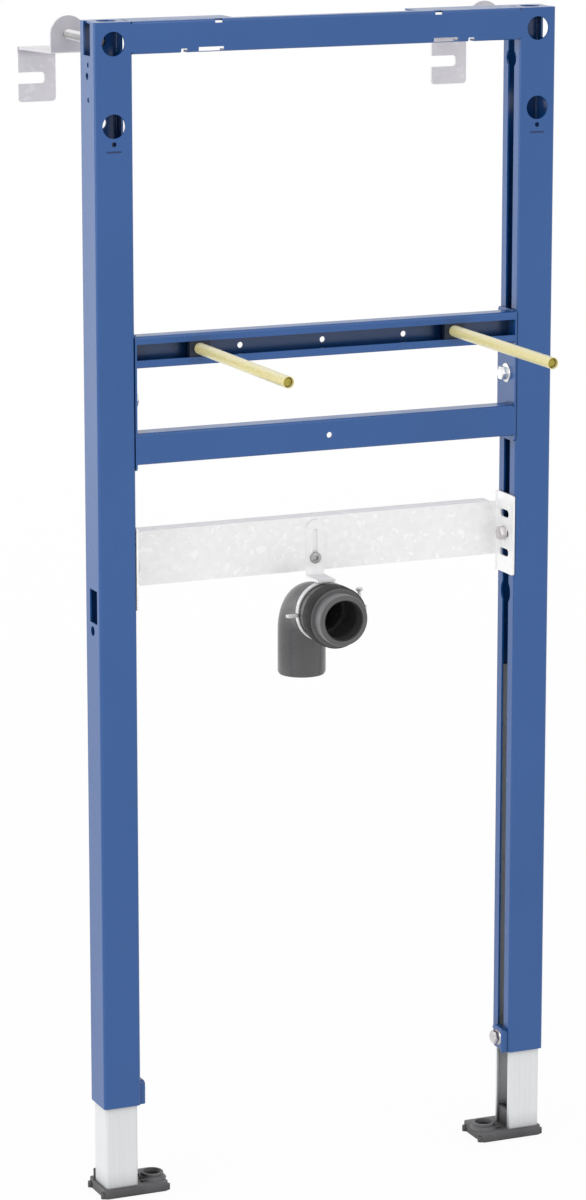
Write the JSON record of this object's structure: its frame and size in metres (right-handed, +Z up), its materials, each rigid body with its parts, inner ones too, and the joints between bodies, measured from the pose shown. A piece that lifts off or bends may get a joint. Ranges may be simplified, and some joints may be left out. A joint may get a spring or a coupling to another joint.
{
  "type": "basin installation frame",
  "caption": "Height-adjustable steel wall frame that carries a washbasin on sleeved rods and holds its waste bend, with wall brackets and telescopic feet.",
  "frame": {"origin": "on the floor, midway between the two floor bolt holes", "axes": "+X to the right seen from the front, +Y back towards the wall, +Z up"},
  "size_m": [0.5155, 0.404, 1.202],
  "materials": {
    "blue_coat": "satin",
    "galvanised": "satin",
    "zinc_plated": "satin",
    "dark_plastic": "matte",
    "seal_rubber": "matte",
    "yellow_sleeve": "gloss"
  },
  "bodies": {
    "frame": {"basin_rail": "blue_coat", "clamp_bracket": "galvanised", "clamp_bracket_screw": "zinc_plated", "clamp_lower_half": "galvanised", "clamp_screw": "zinc_plated", "clamp_upper_half": "galvanised", "left_basin_rod": "zinc_plated", "left_leg_clamp": "blue_coat", "left_leg_clamp_bolt": "zinc_plated", "left_leg_clamp_nut": "zinc_plated", "left_rail_bolt": "zinc_plated", "left_rail_end_plate": "blue_coat", "left_rail_nut": "zinc_plated", "left_rod_nut": "zinc_plated", "left_rod_sleeve": "yellow_sleeve", "left_spindle_nut": "zinc_plated", "left_upright": "blue_coat", "left_wall_bracket": "galvanised", "left_wall_spindle": "zinc_plated", "left_waste_plate_bolt": "zinc_plated", "left_waste_plate_nut": "zinc_plated", "lower_bar": "blue_coat", "right_basin_rod": "zinc_plated", "right_leg_clamp": "blue_coat", "right_leg_clamp_bolt": "zinc_plated", "right_leg_clamp_nut": "zinc_plated", "right_rail_bolt": "zinc_plated", "right_rail_end_plate": "blue_coat", "right_rail_nut": "zinc_plated", "right_rod_nut": "zinc_plated", "right_rod_sleeve": "yellow_sleeve", "right_spindle_nut": "zinc_plated", "right_upright": "blue_coat", "right_wall_bracket": "galvanised", "right_wall_spindle": "zinc_plated", "right_waste_plate_bolt": "zinc_plated", "right_waste_plate_nut": "zinc_plated", "top_bar": "blue_coat", "waste_bend": "dark_plastic", "waste_plate": "galvanised", "waste_seal": "seal_rubber"},
    "left_leg_assembly": {"left_foot": "dark_plastic", "left_leg": "galvanised"},
    "right_leg_assembly": {"right_foot": "dark_plastic", "right_leg": "galvanised"}
  },
  "joints": [
    {"name": "left_leg_slide", "type": "slide", "parent": "frame", "child": "left_leg_assembly", "axis": [0, 0, -1], "range_m": [-0.07, 0.13]},
    {"name": "right_leg_slide", "type": "slide", "parent": "frame", "child": "right_leg_assembly", "axis": [0, 0, -1], "range_m": [-0.07, 0.13]}
  ]
}
